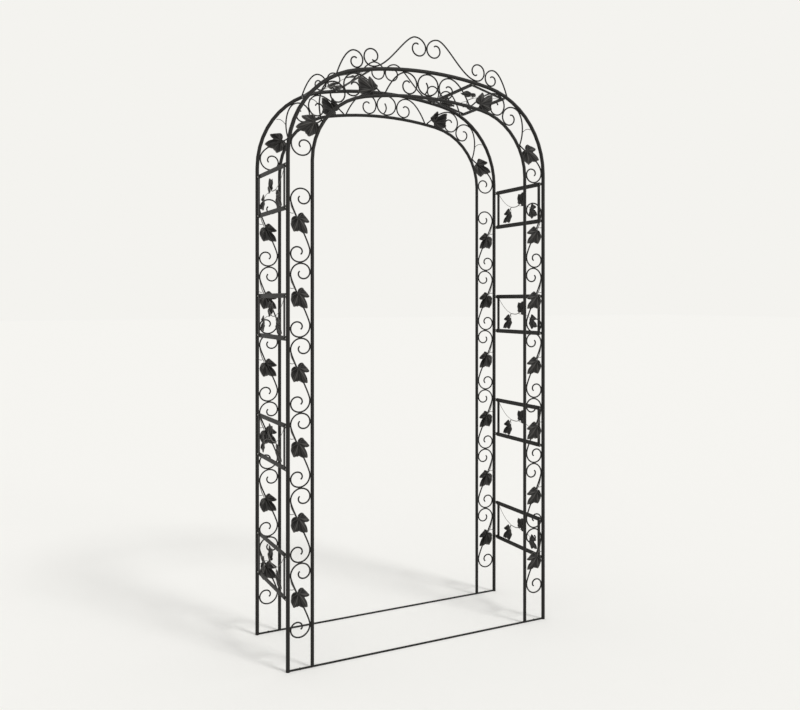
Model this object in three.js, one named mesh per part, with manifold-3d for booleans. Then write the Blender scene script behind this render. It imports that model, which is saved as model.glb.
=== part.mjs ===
import * as THREE from 'three';
import { mergeVertices } from 'three/addons/utils/BufferGeometryUtils.js';
import Module from 'manifold-3d';

const wasm = await Module();
wasm.setup();

// Garden arch of black powder-coated steel. Two round-topped frames of double tube, each filled
// with a band of wire scrolls and cast vine leaves, are joined by ladder panels on the outer tubes.
// Millimetres, +Z up, the path runs along Y, and the origin lies on the ground under the middle.
// In names, front is the frame at -Y, rear the one at +Y, and left and right are -X and +X.

// Lines of the two tubes of a frame: legs, shoulder arcs and one wide crown arc, tangent to each
// other. The arcs of the inner tube are smaller by fixed steps.
const legHeight = 1815;
const springRise = 87;
const outerTube = {
  halfWidth: 572,
  spring: legHeight + springRise,
  shoulder: 345,
  crown: 1521,
  diameter: 15,
};
const bandWidth = 95;
const springStep = 19;
const shoulderStep = 81;
const crownStep = 79;
const innerTube = {
  halfWidth: outerTube.halfWidth - bandWidth,
  spring: outerTube.spring - springStep,
  shoulder: outerTube.shoulder - shoulderStep,
  crown: outerTube.crown - crownStep,
  diameter: 13.5,
};
const middleLine = Object.fromEntries(
  Object.keys(innerTube).map((key) => [key, (outerTube[key] + innerTube[key]) / 2]),
);
const bandLength = lineFacts(middleLine).springLength;
const frameSpacing = 382;
const tubeWall = 1;
const tubeSides = 8;
const crownSteps = 6;
const shoulderSteps = 11;

// Slip joints between the arch tubes and the legs, and the bar along the ground
const spigotLength = 60;
const groundBarSize = 6;

// Clearances: between pieces that touch, and the extra that a bent tube's flats need. Welded wires
// overlap.
const seat = 0.3;
const bendRoom = 0.6;
const weld = 0.6;
const coilWeld = 1.5;
const overrun = 5;

// Scroll wire, as the square bar with the area of the round wire
const wireDiameter = 6;
const twigDiameter = 2.6;
const wireSize = squareOf(wireDiameter);
const twigSize = squareOf(twigDiameter);

// A coil is seven arcs of a sixth of a turn, with radii as shares of its width
const coilArc = Math.PI / 3;
const wideArcs = 2;
const coilShares = [0.56, 0.52, 0.4, 0.34, 0.32, 0.22, 0.15];
const peakCoilShares = [0.665, 0.46, 0.416, 0.4, 0.356, 0.235, 0.128];
const roundCoilShares = [0.53, 0.51, 0.45, 0.41, 0.36, 0.22, 0.11];

// Leg scrolls: S-scrolls stacked between the posts, with their pitch and the middle of the top one
// as shares of the leg's height
const legScrollCount = 6;
const legPitchShare = 0.15245;
const topScrollShare = 0.90341;
const legStemReach = 28;
const legStemSteps = 3;

// Vine leaf: half of its outline as [side, along] shares of its length, from the tip to the stalk
const leafLength = 77;
const leafDome = 6;
const leafSink = 0.6;
const leafShares = [[0, 1], [0.14, 0.5], [0.41, 0.52], [0.27, 0.24], [0.3, 0.02], [0.12, -0.1], [0, 0]];
const leafPeakShare = 0.3;

// Leaf of a leg scroll, from the middle of its S, as shares of half the clear width between the
// posts. On the front left leg the leaves hang a little higher.
const legLeafShares = { base: [0.32, 0.45], tip: [-0.99, -1.05] };
const highLeafShares = { base: [0.24, 0.72], tip: [-0.88, -0.94] };

// Scrolls in the arch band. Feet on the inner tube and coil edges are shares of the band's length,
// from the crown to the spring; leaves are shares of its width, from the foot. The chain is shifted
// to the right.
const chainShift = 12;
const lowerCoilShift = 18;
const ringHalfWidth = 45;
const ringSides = 16;
const ringTailEndShares = [-0.08, 0.07];
const ringTailBendShares = [0.09, -0.17];
const ringTailFootShares = [-0.16, -0.42];
const coilMeetingShare = 0.5282;
const crownScroll = {
  footShare: 0.2787,
  edgeShare: (ringHalfWidth + wireSize / 2) / bandLength,
  coilShift: chainShift,
  footAngle: 56,
  footReach: 45,
  contactReach: 35,
};
const upperLeafScroll = {
  footShare: 0.303,
  edgeShare: coilMeetingShare,
  coilShift: chainShift,
  footAngle: 45,
  footReach: 30,
  contactReach: 40,
  leafShares: { base: [0.39, 0.15], tip: [0.91, 0.75] },
};
const shoulderScroll = {
  footShare: 0.7676,
  edgeShare: coilMeetingShare,
  coilShift: chainShift,
  footAngle: 48,
  footReach: 25,
  contactReach: 35,
};
const lowerLeafScroll = {
  footShare: 0.7676,
  edgeShare: 1.0173,
  coilShift: lowerCoilShift,
  footAngle: 6,
  footReach: 40,
  contactReach: 40,
  leafShares: { base: [0.34, 0.21], tip: [0.84, 0.79] },
};
const bandStemSteps = 3;

// Tendril from the shoulder scroll's stem to the outer tube, as shares of the band's width
const tendrilTopShares = [-0.11, 0.37];
const tendrilEndShares = [0.09, 0.52];
const tendrilSteps = 3;

// Crest on top of each frame: a pair of S-scrolls and a C-scroll outside each, shifted to the right.
// Its height is measured from the outer tube's crown, its contact as a share of the half width.
const crestHeight = 135.4;
const crestShift = 4;
const peakCoilWidth = 72.8;
const restCoilWidth = 67;
const crestContactShare = 0.4108;
const crestPeakReach = 46;
const crestFootReach = 68;
const crestStemSteps = 4;
const endCoilWidth = 65;
const endLegReach = 34;
const endFootReach = 40;
const endFootShare = 0.5101;
const endFootAngle = 72;
const endLegSteps = 3;
const restPasses = 5;

// Ladder panels between the outer tubes: flat strip frames, four on each side, with their middles as
// shares of the leg's height, and one on each shoulder, at a share of the half width
const stripWidth = 18;
const stripThickness = 3;
const tabWidth = 12;
const railSpacing = 158.4;
const uprightHalfSpacing = 157;
const panelCentreShares = [0.9823, 0.7165, 0.4512, 0.1875];
const shoulderPanelShare = 0.5385;
const openingHalfWidth = uprightHalfSpacing - stripWidth / 2;
const openingHalfHeight = (railSpacing - stripWidth) / 2;

// Vine in each panel, as shares of half the opening, across the panel and up from its middle:
// a thin wire, its twigs and three leaves
const vineRouteShares = [
  [0.76, 0.47], [0.53, 0.17], [0.31, 0.01],
  [-0.15, 0], [-0.42, -0.04], [-0.73, -0.31],
];
const vineTwigShares = [
  [[0.32, 0.02], [0.45, -0.33]],
  [[0, 0], [-0.26, 0.25]],
];
const vineLeafShares = [
  { base: [0.42, -0.26], tip: [0.74, -0.9] },
  { base: [-0.23, 0.19], tip: [-0.42, 0.84] },
  { base: [-0.7, -0.26], tip: [-0.97, -0.71] },
];
const vineLeafDome = 4;

const blackPaint = { color: 0x383736, roughness: 0.45, metalness: 0.4 };

function squareOf(diameter) {
  return diameter * Math.sqrt(Math.PI) / 2;
}

// A regular section, measured across its flats
function ngon(sides, across) {
  const corner = across / 2 / Math.cos(Math.PI / sides);
  const corners = Array.from({ length: sides }, (_, index) => {
    const angle = (2 * index + 1) * Math.PI / sides;
    return new THREE.Vector2(corner * Math.cos(angle), corner * Math.sin(angle));
  });
  return new THREE.Shape(corners);
}

// A path that an extrusion follows through exactly the given points, mitred at each of them
class Route extends THREE.Curve {
  constructor(points) {
    super();
    this.points = points;
  }
  getPoint(share, target = new THREE.Vector3()) {
    return target.copy(this.points[Math.round(share * (this.points.length - 1))]);
  }
  getPointAt(share, target) {
    return this.getPoint(share, target);
  }
  getTangent(share, target = new THREE.Vector3()) {
    const last = this.points.length - 1;
    const index = Math.round(share * last);
    const before = this.points[Math.max(index - 1, 0)];
    const here = this.points[index];
    const after = this.points[Math.min(index + 1, last)];
    const arriving = here.clone().sub(before).normalize();
    const leaving = after.clone().sub(here).normalize();
    return target.copy(arriving.add(leaving)).normalize();
  }
  getTangentAt(share, target) {
    return this.getTangent(share, target);
  }
}

function solidOf(geometry) {
  const bare = new THREE.BufferGeometry();
  bare.setAttribute('position', geometry.getAttribute('position'));
  bare.setIndex(geometry.index);
  const merged = mergeVertices(bare);
  return new wasm.Manifold(new wasm.Mesh({
    numProp: 3,
    vertProperties: new Float32Array(merged.getAttribute('position').array),
    triVerts: new Uint32Array(merged.index.array),
  }));
}

function geometryOf(solid) {
  const mesh = solid.getMesh();
  const geometry = new THREE.BufferGeometry();
  geometry.setAttribute('position', new THREE.BufferAttribute(mesh.vertProperties, mesh.numProp));
  geometry.setIndex(new THREE.BufferAttribute(mesh.triVerts, 1));
  return geometry;
}

function joined(solids) {
  return solids.reduce((whole, solid) => whole.add(solid));
}

function sweep(section, points) {
  const options = { steps: points.length - 1, bevelEnabled: false, extrudePath: new Route(points) };
  return solidOf(new THREE.ExtrudeGeometry(section, options));
}

// Wire in a frame's plane, along points given as [x, z]
function planeWire(points, size = wireSize) {
  return sweep(ngon(4, size), points.map((point) => new THREE.Vector3(point.x, 0, point.y)));
}

// Wire in a panel's plane, along points given as [y, z]
function panelWire(points) {
  return sweep(ngon(4, twigSize), points.map((point) => new THREE.Vector3(0, point.x, point.y)));
}

function lineFacts(line) {
  const across = line.halfWidth - line.shoulder;
  const radiusStep = line.crown - line.shoulder;
  const crownZ = line.spring - Math.sqrt(radiusStep ** 2 - across ** 2);
  const crownAngle = Math.asin(across / radiusStep);
  const crownLength = line.crown * crownAngle;
  const springLength = crownLength + line.shoulder * (Math.PI / 2 - crownAngle);
  return { across, crownZ, crownAngle, crownLength, springLength };
}

// Place on an arch line, by the length along it from the crown to the right
function linePoint(line, length) {
  const { across, crownZ, crownAngle, crownLength, springLength } = lineFacts(line);
  if (length > springLength) {
    return new THREE.Vector2(line.halfWidth, line.spring - (length - springLength));
  }
  if (length > crownLength) {
    const angle = crownAngle + (length - crownLength) / line.shoulder;
    return new THREE.Vector2(across, line.spring)
      .addScaledVector(new THREE.Vector2(Math.sin(angle), Math.cos(angle)), line.shoulder);
  }
  const angle = length / line.crown;
  return new THREE.Vector2(0, crownZ)
    .addScaledVector(new THREE.Vector2(Math.sin(angle), Math.cos(angle)), line.crown);
}

// Angle of the outward normal from straight up, at a length along an arch line
function lineAngle(line, length) {
  const { crownAngle, crownLength } = lineFacts(line);
  if (length < crownLength) return length / line.crown;
  return Math.min(crownAngle + (length - crownLength) / line.shoulder, Math.PI / 2);
}

// Distance of a point from an arch line, positive outside the arch
function outsideOf(line, point) {
  const { across, crownZ, crownAngle } = lineFacts(line);
  const x = Math.abs(point.x);
  if (point.y < line.spring) return x - line.halfWidth;
  if (Math.atan2(x, point.y - crownZ) < crownAngle) return Math.hypot(x, point.y - crownZ) - line.crown;
  return Math.hypot(x - across, point.y - line.spring) - line.shoulder;
}

// Frame of the arch band at a place along its middle line, on the right or mirrored to the left,
// with the reach from the middle line to a wire's centre on either tube
function bandFrame(side, place) {
  const origin = linePoint(middleLine, place);
  const angle = lineAngle(middleLine, place);
  const room = seat + bendRoom + wireSize / 2;
  const reachOut = -outsideOf(outerTube, origin) - outerTube.diameter / 2 - room;
  const reachIn = outsideOf(innerTube, origin) - innerTube.diameter / 2 - room;
  const at = (along, out) => new THREE.Vector2(
    side * (origin.x + along * Math.cos(angle) + out * Math.sin(angle)),
    origin.y - along * Math.sin(angle) + out * Math.cos(angle),
  );
  return { at, reachOut, reachIn };
}

// A coil in a flat frame, from its start inwards: each step runs along its tangents, so that the
// flats touch the true curve where the steps meet
function coil(start, heading, turnSide, width, shares) {
  const scale = width / (shares[0] / 2 + shares[1] + shares[2] / 2);
  const points = [];
  const at = start.clone();
  let angle = heading;
  const advance = (length) => {
    at.x += length * Math.cos(angle);
    at.y += length * Math.sin(angle);
  };
  shares.forEach((share, index) => {
    const steps = index < wideArcs ? 2 : 1;
    const turn = coilArc / steps;
    for (let step = 0; step < steps; step += 1) {
      const half = scale * share * Math.tan(turn / 2);
      advance(half);
      points.push(at.clone());
      angle += turnSide * turn;
      advance(half);
    }
  });
  points.push(at.clone());
  return points;
}

// A smooth stem between two places with given headings
function stem(from, fromHeading, fromReach, to, toHeading, toReach, steps) {
  const heading = (angle) => new THREE.Vector2(Math.cos(angle), Math.sin(angle));
  const curve = new THREE.CubicBezierCurve(
    from,
    from.clone().addScaledVector(heading(fromHeading), fromReach),
    to.clone().addScaledVector(heading(toHeading), -toReach),
    to,
  );
  return curve.getPoints(steps);
}

// Leaf: flat behind, domed in front, from its stalk end towards its tip in a plane with that front
function leaf(base, tip, front, length, dome) {
  const half = leafShares.map(([side, along]) => new THREE.Vector2(side * length, along * length));
  const mirrored = half.slice(1, -1).reverse().map((point) => new THREE.Vector2(-point.x, point.y));
  const outline = [...half, ...mirrored].reverse();
  const positions = outline.flatMap((point) => [point.x, point.y, 0]);
  positions.push(0, leafPeakShare * length, dome);
  const peak = outline.length;
  const frontFaces = outline.flatMap((_, index) => [index, (index + 1) % peak, peak]);
  const backFaces = THREE.ShapeUtils.triangulateShape(outline, []).flatMap(([a, b, c]) => [a, c, b]);
  const geometry = new THREE.BufferGeometry();
  geometry.setAttribute('position', new THREE.Float32BufferAttribute(positions, 3));
  geometry.setIndex([...frontFaces, ...backFaces]);
  const along = tip.clone().sub(base).normalize();
  const side = new THREE.Vector3().crossVectors(along, front);
  const place = new THREE.Matrix4().makeBasis(side, along, front).setPosition(base);
  return solidOf(geometry.applyMatrix4(place));
}

// Leaf on the outer face of a frame's scroll wire; the front frame faces -Y and the rear one +Y
function frameLeaf(face, base, tip) {
  const lift = face * (wireSize / 2 - leafSink);
  const at = (point) => new THREE.Vector3(point.x, lift, point.y);
  return leaf(at(base), at(tip), new THREE.Vector3(0, face, 0), leafLength, leafDome);
}

// Posts: hollow tubes, open at the foot, with a flat facing each neighbour
function postGeometry(tube, bottom) {
  const corner = Math.cos(Math.PI / tubeSides);
  const outside = tube.diameter / 2 / corner;
  const inside = (tube.diameter / 2 - tubeWall) / corner;
  const profile = [
    new THREE.Vector2(inside, bottom),
    new THREE.Vector2(outside, bottom),
    new THREE.Vector2(outside, legHeight),
    new THREE.Vector2(inside, legHeight),
    new THREE.Vector2(inside, bottom),
  ];
  const lathe = new THREE.LatheGeometry(profile, tubeSides, Math.PI / tubeSides);
  return geometryOf(solidOf(lathe.rotateX(Math.PI / 2)));
}

// Route of an arch tube over the crown, from one foot to the other, along its tangents
function archRoute(tube, foot) {
  const { crownAngle } = lineFacts(tube);
  const shoulderTurn = (Math.PI / 2 - crownAngle) / shoulderSteps;
  const crownTurn = 2 * crownAngle / crownSteps;
  const turns = [
    ...Array(shoulderSteps).fill([tube.shoulder, shoulderTurn]),
    ...Array(crownSteps).fill([tube.crown, crownTurn]),
    ...Array(shoulderSteps).fill([tube.shoulder, shoulderTurn]),
  ];
  const at = new THREE.Vector2(-tube.halfWidth, foot);
  const points = [at.clone()];
  at.y = tube.spring;
  let angle = Math.PI / 2;
  turns.forEach(([radius, turn]) => {
    const half = radius * Math.tan(turn / 2);
    at.add(new THREE.Vector2(Math.cos(angle), Math.sin(angle)).multiplyScalar(half));
    points.push(at.clone());
    angle -= turn;
    at.add(new THREE.Vector2(Math.cos(angle), Math.sin(angle)).multiplyScalar(half));
  });
  points.push(new THREE.Vector2(tube.halfWidth, foot));
  return points.map((point) => new THREE.Vector3(point.x, 0, point.y));
}

// Arch tube with a reduced spigot at each end that slips into the leg below
function archTubeGeometry(tube) {
  const spigotAcross = tube.diameter - 2 * tubeWall - 2 * seat;
  const bow = sweep(ngon(tubeSides, tube.diameter), archRoute(tube, legHeight + seat));
  const spigots = [-1, 1].map((side) => sweep(ngon(tubeSides, spigotAcross), [
    new THREE.Vector3(side * tube.halfWidth, 0, legHeight - spigotLength),
    new THREE.Vector3(side * tube.halfWidth, 0, legHeight + overrun),
  ]));
  return geometryOf(joined([bow, ...spigots]));
}

// Space that a frame's arch tube needs, from the foot of the band upwards
function tubeSpace(tube) {
  return sweep(ngon(tubeSides, tube.diameter + 2 * seat), archRoute(tube, legHeight));
}

const outerTubeSpace = tubeSpace(outerTube);
const innerTubeSpace = tubeSpace(innerTube);

function groundBarGeometry() {
  const length = 2 * (outerTube.halfWidth - outerTube.diameter / 2 - seat);
  const bar = new THREE.BoxGeometry(length, groundBarSize, groundBarSize);
  return bar.translate(0, 0, groundBarSize / 2);
}

// Leg scrolls: S-scrolls between the two posts, each welded to the next, with a leaf on each stem
function legScrollGeometry(side, face) {
  const outerReach = outerTube.halfWidth - outerTube.diameter / 2 - seat - wireSize / 2;
  const innerReach = innerTube.halfWidth + innerTube.diameter / 2 + seat + wireSize / 2;
  const middle = (outerReach + innerReach) / 2;
  const half = (outerReach - innerReach) / 2;
  const topRise = coilReach(coilShares) * 2 * half;
  const pitch = legPitchShare * legHeight;
  const contactRise = (pitch - wireSize + weld) / 2 - topRise;
  const up = Math.PI / 2;
  const high = new THREE.Vector2(half, contactRise);
  const low = new THREE.Vector2(-half, -contactRise);
  const route = [
    ...coil(high, up, 1, 2 * half, coilShares).reverse(),
    ...stem(high, -up, legStemReach, low, -up, legStemReach, legStemSteps),
    ...coil(low, -up, 1, 2 * half, coilShares),
  ];
  const shares = side < 0 && face < 0 ? highLeafShares : legLeafShares;
  const [base, tip] = [shares.base, shares.tip]
    .map(([across, up]) => new THREE.Vector2(half * across, half * up));
  const solids = [];
  for (let index = 0; index < legScrollCount; index += 1) {
    const centre = topScrollShare * legHeight - index * pitch;
    const at = (point) => new THREE.Vector2(side * (middle + point.x), centre + point.y);
    solids.push(planeWire(route.map(at)));
    solids.push(frameLeaf(face, at(base), at(tip)));
  }
  return geometryOf(joined(solids));
}

// How far a coil reaches ahead of its start, as a share of its width
function coilReach(shares) {
  const scale = 1 / (shares[0] / 2 + shares[1] + shares[2] / 2);
  return scale * (shares[0] * Math.sin(coilArc) + shares[1] * (1 - Math.sin(coilArc)));
}

// A scroll in the arch band: a stem from its foot on the inner tube to the outer one, and its coil,
// whose edge overlaps the neighbour's. The stem's places are also given in the band's own frame.
function bandScroll(side, scroll) {
  const forward = Math.sign(scroll.edgeShare - scroll.footShare);
  const edge = scroll.edgeShare * bandLength + side * scroll.coilShift;
  const edgeFrame = bandFrame(side, edge);
  const edgeReach = coilReach(coilShares) * (edgeFrame.reachOut + edgeFrame.reachIn);
  const contactPlace = edge - forward * (edgeReach + (wireSize - coilWeld) / 2);
  const footPlace = scroll.footShare * bandLength + side * chainShift;
  const contactFrame = bandFrame(side, contactPlace);
  const footFrame = bandFrame(side, footPlace);
  const width = contactFrame.reachOut + contactFrame.reachIn;
  const heading = forward > 0 ? 0 : Math.PI;
  const coilPoints = coil(new THREE.Vector2(0, 0), heading, -forward, width, coilShares)
    .map((point) => contactFrame.at(point.x, contactFrame.reachOut + point.y));
  const footAngle = THREE.MathUtils.degToRad(scroll.footAngle);
  const foot = new THREE.Vector2(footPlace, -footFrame.reachIn);
  const contact = new THREE.Vector2(contactPlace, contactFrame.reachOut);
  const footHeading = forward > 0 ? footAngle : Math.PI - footAngle;
  const { footReach, contactReach } = scroll;
  const rising = stem(foot, footHeading, footReach, contact, heading, contactReach, bandStemSteps);
  const buried = new THREE.Vector2(Math.cos(footHeading), Math.sin(footHeading))
    .multiplyScalar(-innerTube.diameter / 2).add(foot);
  const stemPlaces = [buried, ...rising];
  const stemPoints = stemPlaces.map((place) => bandFrame(side, place.x).at(0, place.y));
  return { route: [...stemPoints, ...coilPoints], stemPlaces };
}

// Leaf on a band scroll's stem
function bandLeaf(side, face, scroll) {
  const foot = scroll.footShare * bandLength + side * scroll.coilShift;
  const { reachIn } = bandFrame(side, foot);
  const at = ([along, up]) => bandFrame(side, foot + along * bandWidth).at(0, up * bandWidth - reachIn);
  return frameLeaf(face, at(scroll.leafShares.base), at(scroll.leafShares.tip));
}

// Tendril that leaves a band scroll a third of the way up its stem
function tendril(side, stemPlaces) {
  const start = stemPlaces[2];
  const from = ([along, up]) => start.clone().add(new THREE.Vector2(along * bandWidth, up * bandWidth));
  const curve = new THREE.QuadraticBezierCurve(start, from(tendrilTopShares), from(tendrilEndShares));
  const points = curve.getPoints(tendrilSteps).map((place) => bandFrame(side, place.x).at(0, place.y));
  return planeWire(points, twigSize);
}

// Ring at the crown, with a tail that climbs inside it, and a scroll welded to either side of it
function crownScrollGeometry() {
  const frame = bandFrame(1, chainShift);
  const halfHeight = (frame.reachOut + frame.reachIn) / 2;
  const middle = (frame.reachOut - frame.reachIn) / 2;
  const oval = (grow) => {
    const corner = Math.cos(Math.PI / ringSides);
    return Array.from({ length: ringSides }, (_, index) => {
      const angle = (2 * index + 1) * Math.PI / ringSides;
      const across = (ringHalfWidth + grow) * Math.cos(angle) / corner;
      const high = (halfHeight + grow) * Math.sin(angle) / corner;
      return frame.at(across, middle + high);
    });
  };
  const shape = new THREE.Shape(oval(wireSize / 2));
  shape.holes.push(new THREE.Path(oval(-wireSize / 2)));
  const ring = new THREE.ExtrudeGeometry(shape, { depth: wireSize, bevelEnabled: false });
  ring.translate(0, 0, -wireSize / 2).rotateX(Math.PI / 2);
  const tailPlaces = [ringTailFootShares, ringTailBendShares, ringTailEndShares]
    .map(([along, up]) => new THREE.Vector2(along * bandWidth, up * bandWidth));
  const tail = new THREE.QuadraticBezierCurve(...tailPlaces).getPoints(bandStemSteps);
  const solids = [solidOf(ring), planeWire(tail.map((point) => frame.at(point.x, point.y)))];
  [-1, 1].forEach((side) => solids.push(planeWire(bandScroll(side, crownScroll).route)));
  return geometryOf(joined(solids).subtract(innerTubeSpace));
}

// Scrolls of one shoulder: two with a leaf and a plain one between them, with a tendril
function archScrollGeometry(side, face) {
  const shoulder = bandScroll(side, shoulderScroll);
  const solids = [
    planeWire(bandScroll(side, upperLeafScroll).route),
    planeWire(shoulder.route),
    planeWire(bandScroll(side, lowerLeafScroll).route),
    bandLeaf(side, face, upperLeafScroll),
    bandLeaf(side, face, lowerLeafScroll),
    tendril(side, shoulder.stemPlaces),
  ];
  return geometryOf(joined(solids).subtract(innerTubeSpace).subtract(outerTubeSpace));
}

// Start at which a route rests on the outer tube, straight above or below a first guess
function rested(routeFrom, guess) {
  const touch = outerTube.diameter / 2 + seat + bendRoom + wireSize / 2;
  const start = guess.clone();
  for (let pass = 0; pass < restPasses; pass += 1) {
    start.y += touch - Math.min(...routeFrom(start).map((point) => outsideOf(outerTube, point)));
  }
  return start;
}

// Crest wires of one side, mirrored to the right: an S-scroll from the middle and a C-scroll beyond it
function crestRoutes(side) {
  const shift = side * crestShift;
  const peakX = (seat + wireSize) / 2 + coilReach(peakCoilShares) * peakCoilWidth + shift;
  const peak = new THREE.Vector2(peakX, linePoint(outerTube, 0).y + crestHeight - wireSize / 2);
  const scrollFrom = (contact) => [
    ...coil(peak, Math.PI, 1, peakCoilWidth, peakCoilShares).reverse(),
    ...stem(peak, 0, crestPeakReach, contact, 0, crestFootReach, crestStemSteps),
    ...coil(contact, 0, 1, restCoilWidth, roundCoilShares),
  ];
  const contactX = crestContactShare * outerTube.halfWidth + shift;
  const contact = rested(scrollFrom, new THREE.Vector2(contactX, linePoint(outerTube, contactX).y));
  const coilEdge = contactX + coilReach(roundCoilShares) * restCoilWidth;
  const endCoilFrom = (top) => coil(top, Math.PI, 1, endCoilWidth, coilShares);
  const endTopX = coilEdge + wireSize + seat + coilReach(coilShares) * endCoilWidth;
  const endTopZ = linePoint(outerTube, coilEdge).y + endCoilWidth;
  const endTop = rested(endCoilFrom, new THREE.Vector2(endTopX, endTopZ));
  const endFoot = linePoint(outerTube, endFootShare * lineFacts(outerTube).springLength + shift);
  const footHeading = -THREE.MathUtils.degToRad(endFootAngle);
  const endRoute = [
    ...endCoilFrom(endTop).reverse(),
    ...stem(endTop, 0, endLegReach, endFoot, footHeading, endFootReach, endLegSteps),
  ];
  return { scrollRoute: scrollFrom(contact), endRoute };
}

// Panel: two rails and two uprights of flat strip, with tabs that reach the tubes
function panelGeometry() {
  const railMiddle = railSpacing / 2;
  const edge = uprightHalfSpacing + stripWidth / 2;
  const reach = frameSpacing / 2 - outerTube.diameter / 2 - seat;
  const top = railMiddle + stripWidth / 2;
  const corner = [
    [edge, railMiddle - tabWidth / 2],
    [reach, railMiddle - tabWidth / 2],
    [reach, railMiddle + tabWidth / 2],
    [edge, railMiddle + tabWidth / 2],
    [edge, top],
  ];
  const quadrants = [[1, 1, false], [-1, 1, true], [-1, -1, false], [1, -1, true]];
  const outline = quadrants.flatMap(([across, up, reversed]) => {
    const points = corner.map(([y, z]) => new THREE.Vector2(across * y, up * z));
    return reversed ? points.reverse() : points;
  });
  const shape = new THREE.Shape(outline);
  const hole = [[1, 1], [-1, 1], [-1, -1], [1, -1]]
    .map(([across, up]) => new THREE.Vector2(across * openingHalfWidth, up * openingHalfHeight));
  shape.holes.push(new THREE.Path(hole));
  const plate = new THREE.ExtrudeGeometry(shape, { depth: stripThickness, bevelEnabled: false });
  plate.translate(0, 0, -stripThickness / 2);
  const upright = new THREE.Matrix4().makeBasis(
    new THREE.Vector3(0, 1, 0),
    new THREE.Vector3(0, 0, 1),
    new THREE.Vector3(1, 0, 0),
  );
  return plate.applyMatrix4(upright);
}

// Vine: a thin wire hung from the panel's upper rear corner, with its twigs and leaves
function vineGeometry() {
  const inset = twigSize / 2 + seat;
  const hang = new THREE.Vector2(openingHalfWidth - inset, openingHalfHeight - inset);
  const at = ([across, up]) => new THREE.Vector2(across * openingHalfWidth, up * openingHalfHeight);
  const solids = [
    panelWire([hang, ...vineRouteShares.map(at)]),
    ...vineTwigShares.map((twig) => panelWire(twig.map(at))),
  ];
  const lift = twigSize / 2 - leafSink;
  const outwards = new THREE.Vector3(1, 0, 0);
  vineLeafShares.forEach((shares) => {
    const [base, tip] = [at(shares.base), at(shares.tip)].map(({ x, y }) => new THREE.Vector3(lift, x, y));
    solids.push(leaf(base, tip, outwards, base.distanceTo(tip), vineLeafDome));
  });
  return geometryOf(joined(solids));
}

// Place and tilt of a shoulder panel: its rails lie on the outer tube's line, a rail spacing apart
function shoulderPanelPlace() {
  let centre = lineFacts(outerTube).crownLength;
  let half = railSpacing / 2;
  let upper = linePoint(outerTube, centre - half);
  let lower = linePoint(outerTube, centre + half);
  for (let pass = 0; pass < 8; pass += 1) {
    centre += shoulderPanelShare * outerTube.halfWidth - (upper.x + lower.x) / 2;
    half *= railSpacing / upper.distanceTo(lower);
    upper = linePoint(outerTube, centre - half);
    lower = linePoint(outerTube, centre + half);
  }
  const middle = upper.clone().add(lower).divideScalar(2);
  const tilt = Math.atan2(lower.x - upper.x, upper.y - lower.y);
  return { middle, tilt };
}

const arch = new THREE.Group();

function addPiece(parent, name, geometry) {
  const piece = new THREE.Mesh(geometry, new THREE.MeshStandardMaterial(blackPaint));
  piece.name = name;
  parent.add(piece);
  return piece;
}

const sides = [['left', -1], ['right', 1]];
const frames = [['front', -1], ['rear', 1]];

function addFrame(frameName, face) {
  const frame = new THREE.Group();
  frame.position.y = face * frameSpacing / 2;
  addPiece(frame, `${frameName}_outer_arch_tube`, archTubeGeometry(outerTube));
  addPiece(frame, `${frameName}_inner_arch_tube`, archTubeGeometry(innerTube));
  addPiece(frame, `${frameName}_ground_bar`, groundBarGeometry());
  addPiece(frame, `${frameName}_crown_scrolls`, crownScrollGeometry());
  sides.forEach(([sideName, side]) => {
    const name = `${frameName}_${sideName}`;
    const { scrollRoute, endRoute } = crestRoutes(side);
    const mirror = (point) => new THREE.Vector2(side * point.x, point.y);
    const outerPost = addPiece(frame, `${name}_outer_post`, postGeometry(outerTube, 0));
    outerPost.position.x = side * outerTube.halfWidth;
    const innerPost = addPiece(frame, `${name}_inner_post`, postGeometry(innerTube, groundBarSize + seat));
    innerPost.position.x = side * innerTube.halfWidth;
    addPiece(frame, `${name}_leg_scrolls`, legScrollGeometry(side, face));
    addPiece(frame, `${name}_arch_scrolls`, archScrollGeometry(side, face));
    addPiece(frame, `${name}_crest_s_scroll`, geometryOf(planeWire(scrollRoute.map(mirror))));
    const crestEnd = planeWire(endRoute.map(mirror)).subtract(outerTubeSpace);
    addPiece(frame, `${name}_crest_c_scroll`, geometryOf(crestEnd));
  });
  arch.add(frame);
}

function addPanel(parent, name, vineName, vineTurn) {
  const panel = new THREE.Group();
  addPiece(panel, name, panelGeometry());
  addPiece(panel, vineName, vineGeometry()).rotation.x = vineTurn;
  parent.add(panel);
  return panel;
}

// The left side's panels are the right side's, turned half round. On the shoulders the vines hang
// upside down.
function addSide(sideName, side) {
  const ladder = new THREE.Group();
  ladder.rotation.z = side > 0 ? 0 : Math.PI;
  panelCentreShares.forEach((share, index) => {
    const panel = addPanel(ladder, `${sideName}_panel_${index + 1}`, `${sideName}_vine_${index + 1}`, 0);
    panel.position.set(outerTube.halfWidth, 0, share * legHeight);
  });
  const { middle, tilt } = shoulderPanelPlace();
  const shoulder = addPanel(ladder, `${sideName}_shoulder_panel`, `${sideName}_shoulder_vine`, Math.PI);
  shoulder.position.set(middle.x, 0, middle.y);
  shoulder.rotation.y = -tilt;
  arch.add(ladder);
}

frames.forEach(([frameName, face]) => addFrame(frameName, face));
sides.forEach(([sideName, side]) => addSide(sideName, side));

export default arch;
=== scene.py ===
import math

import bpy
from mathutils import Matrix, Vector
from mathutils.geometry import interpolate_bezier


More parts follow.
